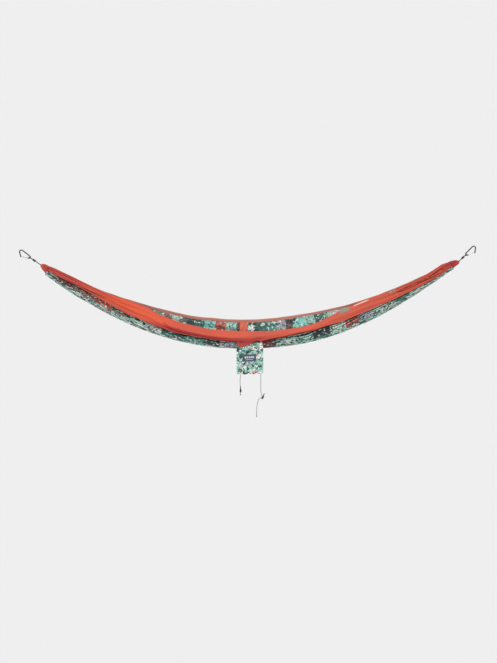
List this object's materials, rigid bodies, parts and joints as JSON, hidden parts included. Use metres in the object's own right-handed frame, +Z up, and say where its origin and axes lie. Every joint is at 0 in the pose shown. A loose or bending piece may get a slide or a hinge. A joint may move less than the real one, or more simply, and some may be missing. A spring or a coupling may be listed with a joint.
{
  "type": "camping hammock",
  "caption": "Gathered-end camping hammock of printed and plain cloth, with rope slings, wire-gate carabiners and an attached stuff sack with drawcords.",
  "frame": {"origin": "the left hang point: the inside of the left carabiner wide end, where a strap bears", "axes": "+X towards the right hang point, +Y away from the side that the sack hangs on, +Z up"},
  "size_m": [2.9215, 0.2697, 1.1009],
  "materials": {
    "coral_cloth": "thin woven nylon with a soft sheen",
    "printed_cloth": "thin woven nylon with an all-over teal, white and green print",
    "woven_label": "woven label with a plain stitched pattern",
    "sling_rope": "braided cord",
    "whipping_thread": "tight thread whipping",
    "carabiner_alloy": "satin anodised",
    "gate_steel": "polished wire",
    "drawcord": "braided cord",
    "lock_plastic": "moulded plastic",
    "plunger_plastic": "moulded plastic"
  },
  "bodies": {
    "root": {"centre_panel": "printed_cloth", "near_side_panel": "coral_cloth", "far_side_panel": "coral_cloth", "sack_tab_left": "coral_cloth", "sack_tab_right": "coral_cloth", "left_end_sleeve": "coral_cloth", "left_sling_rope": "sling_rope", "left_sling_knot": "sling_rope", "left_rope_whipping": "whipping_thread", "right_end_sleeve": "coral_cloth", "right_sling_rope": "sling_rope", "right_sling_knot": "sling_rope", "right_rope_whipping": "whipping_thread"},
    "sack": {"sack_body": "printed_cloth", "sack_channel": "printed_cloth", "sack_label": "woven_label", "left_drawcord": "drawcord", "left_cord_knot": "drawcord", "right_drawcord": "drawcord", "right_cord_knot": "drawcord"},
    "left_carabiner": {"left_carabiner_body": "carabiner_alloy"},
    "left_gate": {"left_wire_gate": "gate_steel"},
    "left_lock": {"left_lock_barrel": "lock_plastic", "left_lock_spring": "gate_steel"},
    "left_plunger": {"left_lock_plunger": "plunger_plastic"},
    "right_carabiner": {"right_carabiner_body": "carabiner_alloy"},
    "right_gate": {"right_wire_gate": "gate_steel"},
    "right_lock": {"right_lock_barrel": "lock_plastic", "right_lock_spring": "gate_steel"},
    "right_plunger": {"right_lock_plunger": "plunger_plastic"}
  },
  "joints": [
    {"name": "left_carabiner_swing", "type": "hinge", "parent": "root", "child": "left_carabiner", "pos_m": [0.05384, 0, -0.03817], "axis": [0, 1, 0], "range_deg": [-30, 30]},
    {"name": "left_gate_hinge", "type": "hinge", "parent": "left_carabiner", "child": "left_gate", "pos_m": [0.04601, 0, -0.04517], "axis": [0, 1, 0], "range_deg": [0, 28], "stiffness_Nm_per_rad": 0.05, "springref_deg": -11.46},
    {"name": "right_carabiner_swing", "type": "hinge", "parent": "root", "child": "right_carabiner", "pos_m": [2.85327, 0, -0.04451], "axis": [0, 1, 0], "range_deg": [-30, 30]},
    {"name": "right_gate_hinge", "type": "hinge", "parent": "right_carabiner", "child": "right_gate", "pos_m": [2.8619, 0, -0.05049], "axis": [0, -1, 0], "range_deg": [0, 28], "stiffness_Nm_per_rad": 0.05, "springref_deg": -11.46},
    {"name": "sack_swing", "type": "hinge", "parent": "root", "child": "sack", "pos_m": [1.4602, -0.1066, -0.5895], "axis": [-1, 0, 0], "range_deg": [-10, 75]},
    {"name": "left_lock_turn", "type": "hinge", "parent": "sack", "child": "left_lock", "pos_m": [1.3986, -0.1034, -0.9083], "axis": [0, 1, 0], "range_deg": [-60, 60]},
    {"name": "left_plunger_press", "type": "slide", "parent": "left_lock", "child": "left_plunger", "axis": [0, 0, -1], "range_m": [0, 0.004], "stiffness_N_per_m": 100, "springref_m": -0.002, "deforming": ["left_lock_spring"]},
    {"name": "right_lock_turn", "type": "hinge", "parent": "sack", "child": "right_lock", "pos_m": [1.5414, -0.1034, -0.9543], "axis": [0, 1, 0], "range_deg": [-60, 60]},
    {"name": "right_plunger_press", "type": "slide", "parent": "right_lock", "child": "right_plunger", "axis": [-0.3746, 0, -0.9272], "range_m": [0, 0.004], "stiffness_N_per_m": 100, "springref_m": -0.002, "deforming": ["right_lock_spring"]}
  ]
}
